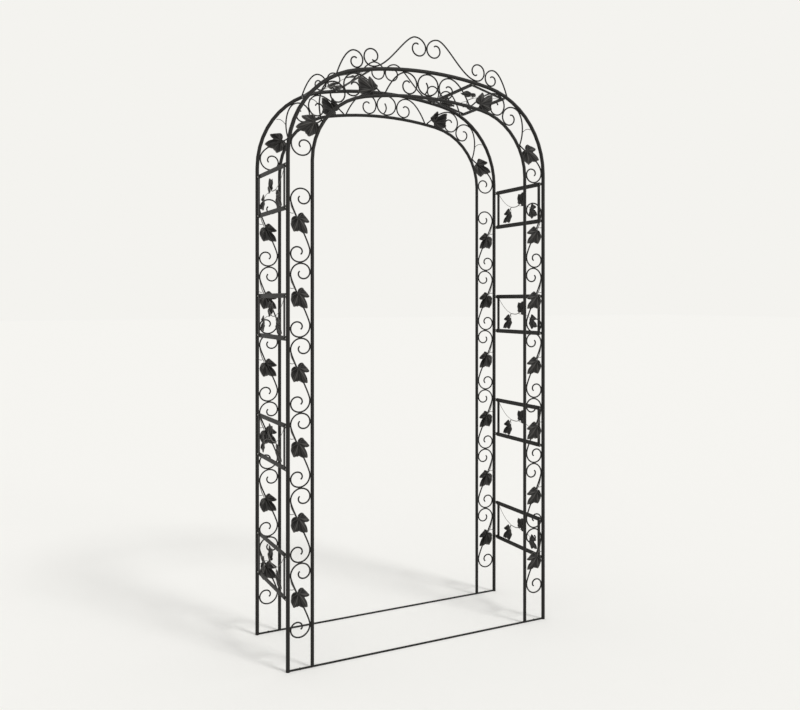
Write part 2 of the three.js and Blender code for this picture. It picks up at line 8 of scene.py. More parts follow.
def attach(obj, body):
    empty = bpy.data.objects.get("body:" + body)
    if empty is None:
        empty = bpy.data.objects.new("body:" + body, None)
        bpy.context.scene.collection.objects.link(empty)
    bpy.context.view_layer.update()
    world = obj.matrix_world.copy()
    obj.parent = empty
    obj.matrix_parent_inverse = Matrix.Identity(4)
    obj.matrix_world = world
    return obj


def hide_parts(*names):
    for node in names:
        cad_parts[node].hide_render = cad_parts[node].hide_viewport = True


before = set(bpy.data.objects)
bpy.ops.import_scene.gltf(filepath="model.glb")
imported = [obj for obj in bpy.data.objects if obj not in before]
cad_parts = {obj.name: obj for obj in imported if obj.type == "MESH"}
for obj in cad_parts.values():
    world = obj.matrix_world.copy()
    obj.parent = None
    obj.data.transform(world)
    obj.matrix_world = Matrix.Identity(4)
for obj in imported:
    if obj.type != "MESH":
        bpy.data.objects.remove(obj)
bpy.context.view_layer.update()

# Garden arch of black powder-coated steel: two round-topped frames of double tube, filled with
# wire scrolls and cast vine leaves, and joined by ladder panels. Sizes here are in millimetres and
# become metres only where an operator gets them. The path runs along Y, and the front is at -Y.
MM = 0.001

# Outer and inner tube of a frame: half the width between the legs, the height where the arch
# springs, the radii of the shoulders and the crown, and the tube's diameter
OUTER_TUBE = {"half_width": 572, "spring": 1902, "shoulder": 345, "crown": 1521, "diameter": 15}
INNER_TUBE = {"half_width": 477, "spring": 1883, "shoulder": 264, "crown": 1442, "diameter": 13.5}

# The arch tubes slip into the posts, with a fine gap between their chamfers
FRAME_Y = 191
LEG_HEIGHT = 1815
TUBE_SIDES = 28
JOINT_CHAMFER = 0.7
JOINT_GAP = 0.3
GROUND_BAR = 6
GROUND_BAR_EDGE = 0.8
LAP_BOLT_HEIGHT = 3.6

# Scroll wire and thin twigs. A wire is pressed a little into what it is welded to.
WIRE = 6
STALK = 3.4
TWIG = 2.6
FINE_TWIG = 2
WIRE_SIDES = 10
TWIG_SIDES = 8
WELD_SINK = 0.2

# Coils are bent in arcs of 60 degrees, whose radii are shares of the coil's width
COIL_ARC = math.radians(60)
COIL = [0.56, 0.52, 0.4, 0.34, 0.32, 0.22, 0.15]
PEAK_COIL = [0.665, 0.46, 0.416, 0.4, 0.356, 0.235, 0.128]
ROUND_COIL = [0.53, 0.51, 0.45, 0.41, 0.36, 0.22, 0.11]

# Scrolls in the legs
LEG_SCROLLS = 6
LEG_PITCH = 276.7
LEG_TOP = 1639.7
LEG_STEM_REACH = 28

# Leaves of the leg scrolls, each given by its stalk end and its tip, from the middle of its scroll,
# and sunk a little into the wire that it is welded to. Stalks and twigs are drawn for a leaf whose
# stalk end is 25 above the scroll's middle, and their lower points follow the real level.
LEG_LEAF = (Vector((12, 17)), Vector((-37, -39)))
FRONT_LEFT_LEG_LEAF = (Vector((9, 27)), Vector((-33, -35)))
LEAF_LIFT = WIRE / 2 - 0.6
LEAF_LEVEL = 25
STALK_TOP = [(37.2, 86), (34.6, 68)]
STALK_BOTTOM = [(28, 52), (20, 36)]
STALK_END = Vector((7, 2))
TWIG_LINE = [(25, 41), (32, 40), (39, 42)]

# Scrolls in the arch band: feet on the inner tube and coil edges, as places along the band's middle
# line from the crown. The whole chain is shifted a little to the right.
CHAIN_SHIFT = 12
LOWER_COIL_SHIFT = 18
COIL_MEETING = 369.5
FOOT_SINK = 4
RING_HALF_WIDTH = 45
RING_STEPS = 72
RING_TAIL = [Vector((-15, -40)), Vector((9, -16)), Vector((-8, 7))]
CROWN_SCROLL = {
    "foot": 195, "edge": RING_HALF_WIDTH + WIRE / 2, "coil_shift": CHAIN_SHIFT,
    "foot_angle": 56, "foot_reach": 45, "contact_reach": 35,
}
UPPER_LEAF_SCROLL = {
    "foot": 212, "edge": COIL_MEETING, "coil_shift": CHAIN_SHIFT,
    "foot_angle": 45, "foot_reach": 30, "contact_reach": 40,
}
SHOULDER_SCROLL = {
    "foot": 537, "edge": COIL_MEETING, "coil_shift": CHAIN_SHIFT,
    "foot_angle": 48, "foot_reach": 25, "contact_reach": 35,
}
LOWER_LEAF_SCROLL = {
    "foot": 537, "edge": 713.5, "coil_shift": LOWER_COIL_SHIFT,
    "foot_angle": 6, "foot_reach": 40, "contact_reach": 40,
}
UPPER_BAND_LEAF = (Vector((37, 14)), Vector((86, 71)))
LOWER_BAND_LEAF = (Vector((32, 20)), Vector((80, 75)))
# Leaves in the band are a little broader than those on the legs
BAND_LEAF_SPREAD = 1.1
TENDRIL = [Vector((499, -8)), Vector((488, 26)), Vector((507, 40))]

# Crest on top, a little to the right of the middle. The S-scroll has its peak coil at the middle
# and its rest coil on the outer tube, and the C-scroll ends the crest in a coil and a foot. Each
# is lowered onto the tube in a few rounds.
CREST_HEIGHT = 135.3
CREST_SHIFT = 4
PEAK_WIDTH = 72.8
PEAK_REACH = 46
REST_WIDTH = 67
REST_REACH = 68
CREST_CONTACT = 235
END_WIDTH = 65
END_REACH = 34
END_FOOT = 393
END_FOOT_REACH = 40
END_FOOT_SLOPE = math.radians(72)
CREST_ROUNDS = 5

# Ladder panels between the outer tubes, with the heights of their middles. A shoulder panel is
# fitted to the outer tube in a few rounds.
PANEL_HEIGHTS = [1782.9, 1300.5, 819, 340.4]
SHOULDER_PANEL_X = 308
SHOULDER_ROUNDS = 9
RAIL_SPACING = 158.4
STRIP_WIDTH = 18
STRIP_THICKNESS = 3
STRIP_EDGE = 0.9
UPRIGHT_SPACING = 314
UPRIGHT_OVERLAP = 10
UPRIGHT_THICKNESS = 2.4
UPRIGHT_SINK = 0.3
UPRIGHT_X = (STRIP_THICKNESS + UPRIGHT_THICKNESS) / 2 - UPRIGHT_SINK
UPRIGHT_FACE = UPRIGHT_X + UPRIGHT_THICKNESS / 2
TAB_NECK = 4
TAB_WIDTH = 12
TAB_END = FRAME_Y - OUTER_TUBE["diameter"] / 2 - JOINT_GAP
TAB_BOLT = 174


# Modelling helpers. Points closer than SAME_PLACE are one point, and a bend that turns less than
# STRAIGHT, in radians, is a straight.
SAME_PLACE = 0.01
STRAIGHT = 1e-5


def stop_editing():
    if bpy.context.mode != "OBJECT":
        bpy.ops.object.mode_set(mode="OBJECT")


def clear_selection():
    stop_editing()
    bpy.ops.object.select_all(action="DESELECT")


def select_only(*pieces):
    clear_selection()
    for piece in pieces:
        piece.select_set(True)
    bpy.context.view_layer.objects.active = pieces[0]


def start_editing(piece):
    select_only(piece)
    bpy.ops.object.mode_set(mode="EDIT")
    bpy.ops.mesh.select_mode(type="VERT")
    bpy.ops.mesh.select_all(action="SELECT")


def places_of(piece):
    """Places of the vertices of a piece under edit."""
    stop_editing()
    places = [vertex.co.copy() for vertex in piece.data.vertices]
    bpy.ops.object.mode_set(mode="EDIT")
    return places


def pick(piece, wanted):
    """Select the vertices whose place satisfies a test, and go on editing."""
    bpy.ops.mesh.select_mode(type="VERT")
    bpy.ops.mesh.select_all(action="DESELECT")
    stop_editing()
    for vertex in piece.data.vertices:
        vertex.select = wanted(vertex.co)
    bpy.ops.object.mode_set(mode="EDIT")


def pick_at(piece, spot):
    """Select the vertex at a place, and go on editing."""
    pick(piece, lambda place: (place - spot).length < SAME_PLACE * MM)


def pick_faces(piece, wanted):
    """Select the faces that satisfy a test, and go on editing."""
    bpy.ops.mesh.select_mode(type="FACE")
    bpy.ops.mesh.select_all(action="DESELECT")
    stop_editing()
    for face in piece.data.polygons:
        face.select = wanted(face)
    bpy.ops.object.mode_set(mode="EDIT")


def extrude(step):
    """Draw what is selected out over a step."""
    bpy.ops.mesh.extrude_region_move(TRANSFORM_OT_translate={"value": step})


def settle(piece):
    """Stop editing, and put the piece's place in its mesh."""
    select_only(piece)
    bpy.ops.object.transform_apply(location=True, rotation=True, scale=True)
    return piece


def applied(piece, kind, **settings):
    """Add a modifier and apply it."""
    modifier = piece.modifiers.new(kind.lower(), kind)
    for key, value in settings.items():
        setattr(modifier, key, value)
    select_only(piece)
    bpy.ops.object.modifier_apply(modifier=modifier.name)


def smooth(piece, degrees):
    select_only(piece)
    bpy.ops.object.shade_smooth_by_angle(angle=math.radians(degrees))
    return piece


def closed_outwards(piece):
    start_editing(piece)
    bpy.ops.mesh.remove_doubles(threshold=SAME_PLACE * MM)
    bpy.ops.mesh.fill_holes(sides=0)
    bpy.ops.mesh.normals_make_consistent(inside=False)
    stop_editing()
    return piece


def copied(piece, name, place):
    """A copy with its own mesh, moved by a matrix."""
    select_only(piece)
    bpy.ops.object.duplicate(linked=False)
    copy = bpy.context.object
    copy.name = name
    copy.matrix_world = place @ copy.matrix_world
    settle(copy)
    if place.determinant() < 0:
        start_editing(copy)
        bpy.ops.mesh.normals_make_consistent(inside=False)
        stop_editing()
    return copy


def joined(name, pieces):
    select_only(*pieces)
    bpy.ops.object.join()
    whole = bpy.context.object
    whole.name = name
    return whole


def shift(x, y, z):
    return Matrix.Translation(Vector((x, y, z)) * MM)


MIRROR_X = Matrix.Scale(-1, 4, (1, 0, 0))
MIRROR_Y = Matrix.Scale(-1, 4, (0, 1, 0))
HALF_TURN = Matrix.Rotation(math.pi, 4, "Z")


# Lines that the frames follow

class TubeLine:
    """Centre line of an arch tube: straight legs, shoulder arcs and one wide crown arc."""

    def __init__(self, half_width, spring, shoulder, crown, diameter):
        self.half_width = half_width
        self.spring = spring
        self.shoulder = shoulder
        self.crown = crown
        self.diameter = diameter
        self.across = half_width - shoulder
        self.crown_z = spring - math.sqrt((crown - shoulder) ** 2 - self.across ** 2)
        self.crown_angle = math.asin(self.across / (crown - shoulder))
        self.crown_length = crown * self.crown_angle
        self.spring_length = self.crown_length + shoulder * (math.pi / 2 - self.crown_angle)

    def angle(self, length):
        """Lean of the outward normal at a length along the line from the crown."""
        if length < self.crown_length:
            return length / self.crown
        return min(self.crown_angle + (length - self.crown_length) / self.shoulder, math.pi / 2)

    def point(self, length):
        """Place at a length along the line from the crown."""
        if length > self.spring_length:
            return Vector((self.half_width, self.spring - (length - self.spring_length)))
        angle = self.angle(length)
        normal = Vector((math.sin(angle), math.cos(angle)))
        if length > self.crown_length:
            return Vector((self.across, self.spring)) + normal * self.shoulder
        return Vector((0, self.crown_z)) + normal * self.crown

    def outside(self, point):
        """Distance of a point from the line, positive outside the arch."""
        x = abs(point.x)
        if point.y < self.spring:
            return x - self.half_width
        if math.atan2(x, point.y - self.crown_z) < self.crown_angle:
            return math.hypot(x, point.y - self.crown_z) - self.crown
        return math.hypot(x - self.across, point.y - self.spring) - self.shoulder


OUTER = TubeLine(**OUTER_TUBE)
INNER = TubeLine(**INNER_TUBE)
MIDDLE = TubeLine(**{size: (OUTER_TUBE[size] + INNER_TUBE[size]) / 2 for size in OUTER_TUBE})


class BandPlace:
    """Place along the band between the tubes, with the reach to a wire's centre on either tube."""

    def __init__(self, place):
        self.origin = MIDDLE.point(place)
        self.angle = MIDDLE.angle(place)
        room = WIRE / 2 - WELD_SINK
        self.reach_out = -OUTER.outside(self.origin) - OUTER.diameter / 2 - room
        self.reach_in = INNER.outside(self.origin) - INNER.diameter / 2 - room

    def at(self, along, out):
        """Place from here along the band and outwards."""
        lean, rise = math.cos(self.angle), math.sin(self.angle)
        return self.origin + Vector((along * lean + out * rise, out * lean - along * rise))


def headed(angle):
    """Direction at an angle in a wire's plane."""
    return Vector((math.cos(angle), math.sin(angle)))


class Route:
    """Line of a bent wire in a plane: its start and heading, and its bends as (length, turn)."""

    def __init__(self, start, heading):
        self.start = Vector(start)
        self.heading = heading
        self.bends = []
        self.at = self.start.copy()
        self.aim = heading

    def bend(self, length, turn):
        """Go on over a length, turning left by an angle."""
        self.bends.append((length, turn))
        if abs(turn) < STRAIGHT:
            self.at = self.at + headed(self.aim) * length
            return self
        radius = length / turn
        centre = self.at + Vector((-math.sin(self.aim), math.cos(self.aim))) * radius
        self.aim += turn
        self.at = centre - Vector((-math.sin(self.aim), math.cos(self.aim))) * radius
        return self

    def coil(self, width, shares, side):
        """Go on in a coil as wide as given, to the left for a side of 1 and to the right for -1."""
        scale = width / (shares[0] / 2 + shares[1] + shares[2] / 2)
        for share in shares:
            self.bend(share * scale * COIL_ARC, side * COIL_ARC)
        return self

    def through(self, points):
        """Go on through points, each reached in one arc."""
        for point in points:
            chord = Vector(point) - self.at
            lean = math.atan2(chord.y, chord.x) - self.aim
            lean = math.atan2(math.sin(lean), math.cos(lean))
            longer = lean / math.sin(lean) if abs(lean) > STRAIGHT else 1
            self.bend(chord.length * longer, 2 * lean)
        return self

    def onwards(self, other):
        """Go on with the bends of another route."""
        for length, turn in other.bends:
            self.bend(length, turn)
        return self

    def backwards(self):
        back = Route(self.at, self.aim + math.pi)
        for length, turn in reversed(self.bends):
            back.bend(length, -turn)
        return back

    def mirrored(self):
        other = Route((-self.start.x, self.start.y), math.pi - self.heading)
        for length, turn in self.bends:
            other.bend(length, -turn)
        return other

    def moved(self, across, up):
        other = Route(self.start + Vector((across, up)), self.heading)
        return other.onwards(self)

    def points(self):
        """Ends and middles of the bends."""
        walker = Route(self.start, self.heading)
        places = [walker.at.copy()]
        for length, turn in self.bends:
            walker.bend(length / 2, turn / 2)
            places.append(walker.at.copy())
            walker.bend(length / 2, turn / 2)
            places.append(walker.at.copy())
        return places


def curve_points(start, first, second, end, steps):
    """Points of a Bezier curve with its two handles."""
    corners = (corner.to_3d() for corner in (start, first, second, end))
    return [point.to_2d() for point in interpolate_bezier(*corners, steps)]


def stem(start, start_heading, start_reach, end, end_heading, end_reach, steps=26):
    """Points of a smooth stem between two places with given headings."""
    first = start + headed(start_heading) * start_reach
    second = end - headed(end_heading) * end_reach
    return curve_points(start, first, second, end, steps)


def parabola(start, bend, end, steps=14):
    """Points of a parabola, pulled towards its bend."""
    first = start.lerp(bend, 2 / 3)
    second = end.lerp(bend, 2 / 3)
    return curve_points(start, first, second, end, steps)


def route_through(points):
    """Route along sampled points of a smooth line."""
    first, second, third = (Vector(point) for point in points[:3])
    begin = second - first
    follow = third - second
    heading = math.atan2(begin.y, begin.x)
    turn = math.atan2(follow.y, follow.x) - heading
    turn = math.atan2(math.sin(turn), math.cos(turn))
    return Route(first, heading - turn / 2).through(points[1:])


def eased(points, steps=6):
    """A smooth line through a few points, sampled."""
    line = [Vector(points[0])]
    for index in range(len(points) - 1):
        here, there = Vector(points[index]), Vector(points[index + 1])
        before = Vector(points[index - 1]) if index else here * 2 - there
        after = Vector(points[index + 2]) if index + 2 < len(points) else there * 2 - here
        first = here + (there - before) / 6
        second = there - (after - here) / 6
        line += curve_points(here, first, second, there, steps + 1)[1:]
    return line


# Bent wires and tubes. A wire's cut ends are rounded over a quarter of its diameter, and a bend is
# spun in steps no longer than given here.
END_ROUNDING = 0.25
END_NARROWING = 0.62
BEND_STEP = math.radians(13)
BEND_STEP_LENGTH = 45


class Plane:
    """Plane in which a wire is bent: where its origin is, and its directions across and up."""

    def __init__(self, origin, across, up):
        self.origin = Vector(origin) * MM
        self.across = Vector(across)
        self.up = Vector(up)
        self.normal = self.across.cross(self.up)

    def at(self, point):
        """Place in the scene of a point in the plane."""
        return self.origin + (self.across * point[0] + self.up * point[1]) * MM

    def direction(self, angle):
        return self.across * math.cos(angle) + self.up * math.sin(angle)


FRONT_PLANE = Plane((0, -FRAME_Y, 0), (1, 0, 0), (0, 0, 1))
PANEL_PLANE = Plane((0, 0, 0), (0, 1, 0), (0, 0, 1))


def bent(name, route, diameter, plane=FRONT_PLANE, sides=WIRE_SIDES, closed=False):
    """A wire or tube bent along a route: its section is drawn along straights and spun round bends.

    A closed one has no rounded ends, because they meet or are cut square.
    """
    radius = diameter / 2
    tip = 0 if closed else END_ROUNDING * diameter
    narrow = END_NARROWING if tip else 1
    clear_selection()
    turned = plane.direction(route.heading).to_track_quat("Z", "Y").to_euler()
    start = plane.at(route.start)
    bpy.ops.mesh.primitive_circle_add(
        vertices=sides, radius=radius * narrow * MM, fill_type="NOTHING",
        location=start, rotation=turned,
    )
    piece = bpy.context.object
    piece.name = name
    settle(piece)
    start_editing(piece)
    walker = Route(route.start, route.heading)
    if tip:
        step = plane.direction(route.heading) * tip * MM
        extrude(step)
        bpy.ops.transform.resize(value=(1 / narrow,) * 3, center_override=start + step)
        bpy.ops.transform.translate(value=-step * 0.5)
    for length, turn in route.bends:
        if abs(turn) < STRAIGHT:
            step = plane.direction(walker.aim) * length * MM
            extrude(step)
        else:
            centre = walker.at + headed(walker.aim + math.pi / 2) * length / turn
            steps = max(math.ceil(abs(turn) / BEND_STEP), math.ceil(length / BEND_STEP_LENGTH))
            bpy.ops.mesh.spin(
                steps=steps, angle=abs(turn), center=plane.at(centre),
                axis=plane.normal * math.copysign(1, -turn),
            )
        walker.bend(length, turn)
    if tip:
        end = plane.at(walker.at)
        step = plane.direction(walker.aim) * tip * 0.5 * MM
        extrude(step)
        bpy.ops.transform.resize(value=(narrow,) * 3, center_override=end + step)
    return smooth(closed_outwards(piece), degrees=50)


def post(name, line, foot):
    """A post: a round tube, chamfered where the arch tube slips into it."""
    clear_selection()
    bpy.ops.mesh.primitive_circle_add(
        vertices=TUBE_SIDES, radius=line.diameter / 2 * MM, fill_type="NOTHING",
        location=Vector((line.half_width, -FRAME_Y, foot)) * MM,
    )
    piece = settle(bpy.context.object)
    piece.name = name
    start_editing(piece)
    centre = Vector((line.half_width, -FRAME_Y, LEG_HEIGHT)) * MM
    rise = LEG_HEIGHT - JOINT_CHAMFER - foot
    extrude((0, 0, rise * MM))
    extrude((0, 0, JOINT_CHAMFER * MM))
    narrow = 1 - 2 * JOINT_CHAMFER / line.diameter
    bpy.ops.transform.resize(value=(narrow, narrow, 1), center_override=centre)
    return smooth(closed_outwards(piece), degrees=30)


def arch_tube(name, line):
    """An arch tube from joint to joint, with a chamfer at each end."""
    foot = LEG_HEIGHT + JOINT_CHAMFER + JOINT_GAP
    shoulder_turn = math.pi / 2 - line.crown_angle
    route = Route((-line.half_width, foot), math.pi / 2).bend(line.spring - foot, 0)
    route.bend(line.shoulder * shoulder_turn, -shoulder_turn)
    route.bend(line.crown * 2 * line.crown_angle, -2 * line.crown_angle)
    route.bend(line.shoulder * shoulder_turn, -shoulder_turn)
    route.bend(line.spring - foot, 0)
    piece = bent(name, route, line.diameter, sides=TUBE_SIDES, closed=True)
    start_editing(piece)
    low = (foot + SAME_PLACE) * MM
    for side in (-1, 1):
        pick_faces(piece, lambda face: face.center.z < low and face.center.x * side > 0)
        extrude((0, 0, -JOINT_CHAMFER * MM))
        narrow = 1 - 2 * JOINT_CHAMFER / line.diameter
        centre = Vector((side * line.half_width, -FRAME_Y, foot)) * MM
        bpy.ops.transform.resize(value=(narrow, narrow, 1), center_override=centre)
    stop_editing()
    return smooth(piece, degrees=30)


# Reach of a weld bead from its middle along its length, width and height, and its unevenness
WELD_SIZE = (5.5, 2.6, 2.4)
WELD_UNEVENNESS = 0.35


def weld_bead():
    """A small uneven bead of weld metal, longest along X."""
    clear_selection()
    bpy.ops.mesh.primitive_ico_sphere_add(subdivisions=2, radius=1 * MM)
    bead = settle(bpy.context.object)
    start_editing(bead)
    bpy.ops.transform.resize(value=WELD_SIZE, center_override=(0, 0, 0))
    bpy.ops.transform.vertex_random(offset=WELD_UNEVENNESS * MM, uniform=0, normal=0, seed=4)
    stop_editing()
    return smooth(bead, degrees=80)


def in_front_plane(point, angle):
    """Place in the front frame's plane, turned so that X points along an angle there."""
    return Matrix.Translation(FRONT_PLANE.at(point)) @ Matrix.Rotation(-angle, 4, "Y")


# Scrolls

def coil_reach(shares):
    """How far a coil reaches ahead of its start, as a share of its width."""
    scale = 1 / (shares[0] / 2 + shares[1] + shares[2] / 2)
    return scale * (shares[0] * math.sin(COIL_ARC) + shares[1] * (1 - math.sin(COIL_ARC)))


def leg_scroll_route():
    """S-scroll about the origin: across the band, outwards, and up."""
    outer = OUTER.half_width - OUTER.diameter / 2 - WIRE / 2 + WELD_SINK
    inner = INNER.half_width + INNER.diameter / 2 + WIRE / 2 - WELD_SINK
    half = (outer - inner) / 2
    rise = (LEG_PITCH - WIRE + WELD_SINK) / 2 - coil_reach(COIL) * 2 * half
    up = math.pi / 2
    high = Vector((half, rise))
    route = Route(high, up).coil(2 * half, COIL, 1).backwards()
    route.through(stem(high, -up, LEG_STEM_REACH, -high, -up, LEG_STEM_REACH)[1:])
    route.coil(2 * half, COIL, 1)
    return route, (outer + inner) / 2, high


def band_route(side, scroll):
    """Scroll of the right-hand band: from its foot on the inner tube to its contact and coil."""
    forward = math.copysign(1, scroll["edge"] - scroll["foot"])
    edge_place = scroll["edge"] + side * scroll["coil_shift"]
    edge = BandPlace(edge_place)
    reach = coil_reach(COIL) * (edge.reach_out + edge.reach_in) + WIRE / 2 - WELD_SINK
    contact_place = edge_place - forward * reach
    foot_place = scroll["foot"] + side * CHAIN_SHIFT
    contact = BandPlace(contact_place)
    heading = 0 if forward > 0 else math.pi
    foot_angle = math.radians(scroll["foot_angle"])
    foot_heading = foot_angle if forward > 0 else math.pi - foot_angle
    low = Vector((foot_place, -BandPlace(foot_place).reach_in))
    line = [low - headed(foot_heading) * FOOT_SINK] + stem(
        low, foot_heading, scroll["foot_reach"],
        Vector((contact_place, contact.reach_out)), heading, scroll["contact_reach"],
    )
    places = [BandPlace(point.x).at(0, point.y) for point in line]
    back = Route(places[-1], heading - contact.angle + math.pi).through(places[-2::-1])
    return back.backwards().coil(contact.reach_out + contact.reach_in, COIL, -forward)


def crest_routes(side):
    """Crest wires of one side, mirrored to the right: the S-scroll and the C-scroll."""
    touch = OUTER.diameter / 2 + WIRE / 2 - WELD_SINK
    shifted = side * CREST_SHIFT

    def rested(route_from, start):
        """The start, moved up or down until its route touches the outer tube."""
        for _ in range(CREST_ROUNDS):
            gap = min(OUTER.outside(point) for point in route_from(start).points()) - touch
            start = start - Vector((0, gap))
        return start

    peak_x = WIRE / 2 - WELD_SINK + coil_reach(PEAK_COIL) * PEAK_WIDTH + shifted
    peak = Vector((peak_x, OUTER.point(0).y + CREST_HEIGHT - WIRE / 2))

    def scroll_from(contact):
        route = Route(peak, math.pi).coil(PEAK_WIDTH, PEAK_COIL, 1).backwards()
        route.through(stem(peak, 0, PEAK_REACH, contact, 0, REST_REACH)[1:])
        return route.coil(REST_WIDTH, ROUND_COIL, 1)

    contact_x = CREST_CONTACT + shifted
    contact = rested(scroll_from, Vector((contact_x, OUTER.point(contact_x).y)))

    def end_coil_from(top):
        return Route(top, math.pi).coil(END_WIDTH, COIL, 1)

    edge = contact_x + coil_reach(ROUND_COIL) * REST_WIDTH
    top_x = edge + WIRE - WELD_SINK + coil_reach(COIL) * END_WIDTH
    top = rested(end_coil_from, Vector((top_x, OUTER.point(edge).y + END_WIDTH)))
    foot = OUTER.point(END_FOOT + shifted)
    end_stem = stem(top, 0, END_REACH, foot, -END_FOOT_SLOPE, END_FOOT_REACH)
    end = end_coil_from(top).backwards().through(end_stem[1:])
    return scroll_from(contact), end


# Vine leaves

# Outline of the cast leaf about its stalk: angle from the main vein, positive to the left of it
# as it is seen from the front, and radius
LEAF_OUTLINE = [
    (-180, 4), (-160, 8), (-143, 16), (-117, 24), (-98, 30), (-80, 39), (-67, 45), (-57, 52),
    (-48, 55), (-42, 50), (-37, 54), (-31, 49), (-26, 50), (-21, 57), (-15, 61), (-6, 65),
    (0, 70), (4, 61), (11, 54), (15, 40), (19, 27), (23, 33), (28, 43), (38, 49), (46, 42),
    (57, 35), (68, 30), (81, 27), (96, 26), (112, 24), (125, 18), (140, 12), (160, 7), (180, 4),
]
LEAF_SPOKES = 72
LEAF_TOOTH = 0.028
LEAF_THICKNESS = 1.6

# Rings from the edge to the stalk, each a share of the one outside it
LEAF_RINGS = (0.86, 0.8, 0.72, 0.6, 0.45)

# Angles of the veins, how high they stand from where they start, and how far the blade sinks
# between them, beyond a start and a number of spokes from each
LEAF_VEINS = [0, -50, 40, -95, 100]
VEIN_RISE = 2.2
VEIN_START = 2
BLADE_SINK = 2
BLADE_START = 9
BLADE_SPOKES = 2.5

# Pushes that crown the middle and curl the lobes back: place, height and how far around they reach
LEAF_PUSHES = [
    ((0, 24), 4.4, 34), ((0, 74), -6, 24), ((-30, 36), -5, 18), ((40, 40), -5, 18),
    ((-16, 48), -4, 11), ((20, -4), -4, 16),
]


def outline_radius(angle):
    """Radius of the leaf's edge at an angle from the main vein."""
    for (low, start), (high, end) in zip(LEAF_OUTLINE, LEAF_OUTLINE[1:]):
        if low <= angle <= high:
            return start + (end - start) * (angle - low) / (high - low)
    return LEAF_OUTLINE[0][1]


def leaf_angle(place):
    """Angle of a place on the leaf from the main vein."""
    return math.degrees(math.atan2(-place.x, place.y))


def vein_distance(angle):
    """Angle to the nearest vein."""
    return min(abs(angle - vein) for vein in LEAF_VEINS)


def vine_leaf(name):
    """A leaf in the XY plane, its stalk end at the origin, its tip along +Y, its front at +Z."""
    step = 360 / LEAF_SPOKES
    clear_selection()
    bpy.ops.mesh.primitive_circle_add(vertices=LEAF_SPOKES, radius=1 * MM, fill_type="NOTHING")
    leaf = bpy.context.object
    leaf.name = name

    # The round blank is pulled out to the leaf's edge, every other point further for a tooth
    start_editing(leaf)
    for index, corner in enumerate(places_of(leaf)):
        pick_at(leaf, corner)
        angle = leaf_angle(corner)
        on_tooth = index % 2 or vein_distance(angle) < step / 2
        reach = outline_radius(angle) * (1 + (LEAF_TOOTH if on_tooth else -LEAF_TOOTH))
        bpy.ops.transform.translate(value=corner.normalized() * reach * MM - corner)

    # The blade is drawn inwards in rings and closed over the stalk
    bpy.ops.mesh.select_all(action="SELECT")
    for share in LEAF_RINGS:
        bpy.ops.mesh.extrude_region_move()
        bpy.ops.transform.resize(value=(share, share, 1), center_override=(0, 0, 0))
    bpy.ops.mesh.extrude_region_move()
    bpy.ops.mesh.merge(type="CENTER")

    # Veins stand proud of the blade, which sinks between them
    pick(leaf, lambda place: place.length > VEIN_START * MM
         and vein_distance(leaf_angle(place)) < step / 2)
    bpy.ops.transform.translate(value=(0, 0, VEIN_RISE * MM))
    pick(leaf, lambda place: place.length > BLADE_START * MM
         and vein_distance(leaf_angle(place)) > step * BLADE_SPOKES)
    bpy.ops.transform.translate(value=(0, 0, -BLADE_SINK * MM))

    # The middle is pushed forward, and the lobes curl
    for spot, push, size in LEAF_PUSHES:
        centre = Vector(spot) * MM
        pick_at(leaf, min(places_of(leaf), key=lambda place: (place.xy - centre).length))
        bpy.ops.transform.translate(
            value=(0, 0, push * MM), use_proportional_edit=True,
            proportional_edit_falloff="SMOOTH", proportional_size=size * MM,
        )
    bpy.ops.mesh.select_all(action="SELECT")
    bpy.ops.mesh.normals_make_consistent(inside=False)
    stop_editing()
    if sum(face.normal.z for face in leaf.data.polygons) < 0:
        start_editing(leaf)
        bpy.ops.mesh.flip_normals()
        stop_editing()
    applied(leaf, "SOLIDIFY", thickness=LEAF_THICKNESS * MM, offset=-1)
    applied(leaf, "SUBSURF", levels=1, render_levels=1)
    return smooth(leaf, degrees=60)


def leaf_place(base, tip, front):
    """Place of a leaf from its stalk end towards its tip, with its front turned a given way."""
    along = (tip - base).normalized()
    front = (front - along * front.dot(along)).normalized()
    side = along.cross(front)
    place = Matrix.Translation(base)
    for column, axis in enumerate((side, along, front)):
        place.col[column][:3] = axis
    return place


# Ladder panels

def strip(name, length, width, thickness, centre, upright=False):
    """A flat strip in the YZ plane, along Y or up Z."""
    clear_selection()
    size = (thickness, width, length) if upright else (thickness, length, width)
    bpy.ops.mesh.primitive_cube_add(size=1 * MM, location=Vector(centre) * MM, scale=size)
    piece = settle(bpy.context.object)
    piece.name = name
    return piece


# A face whose normal is at least this much along an axis faces that way
FACING = 0.9


def panel_rail(name, height):
    """A rail whose ends narrow to the tabs that are bolted to the posts."""
    edge = (UPRIGHT_SPACING + STRIP_WIDTH) / 2
    rail = strip(name, 2 * edge, STRIP_WIDTH, STRIP_THICKNESS, (0, 0, height))
    start_editing(rail)
    for side in (-1, 1):
        pick_faces(rail, lambda face: face.normal.y * side > FACING)
        extrude((0, side * TAB_NECK * MM, 0))
        centre = Vector((0, side * (edge + TAB_NECK), height)) * MM
        bpy.ops.transform.resize(value=(1, 1, TAB_WIDTH / STRIP_WIDTH), center_override=centre)
        extrude((0, side * (TAB_END - edge - TAB_NECK) * MM, 0))
    stop_editing()
    return rail


# Sides of a dome head, and its rings: rise as a share of its height, and width as a share of the
# ring below
HEAD_SIDES = 16
DOME_RINGS = [(0.45, 0.9), (0.35, 0.7), (0.2, 0.45)]


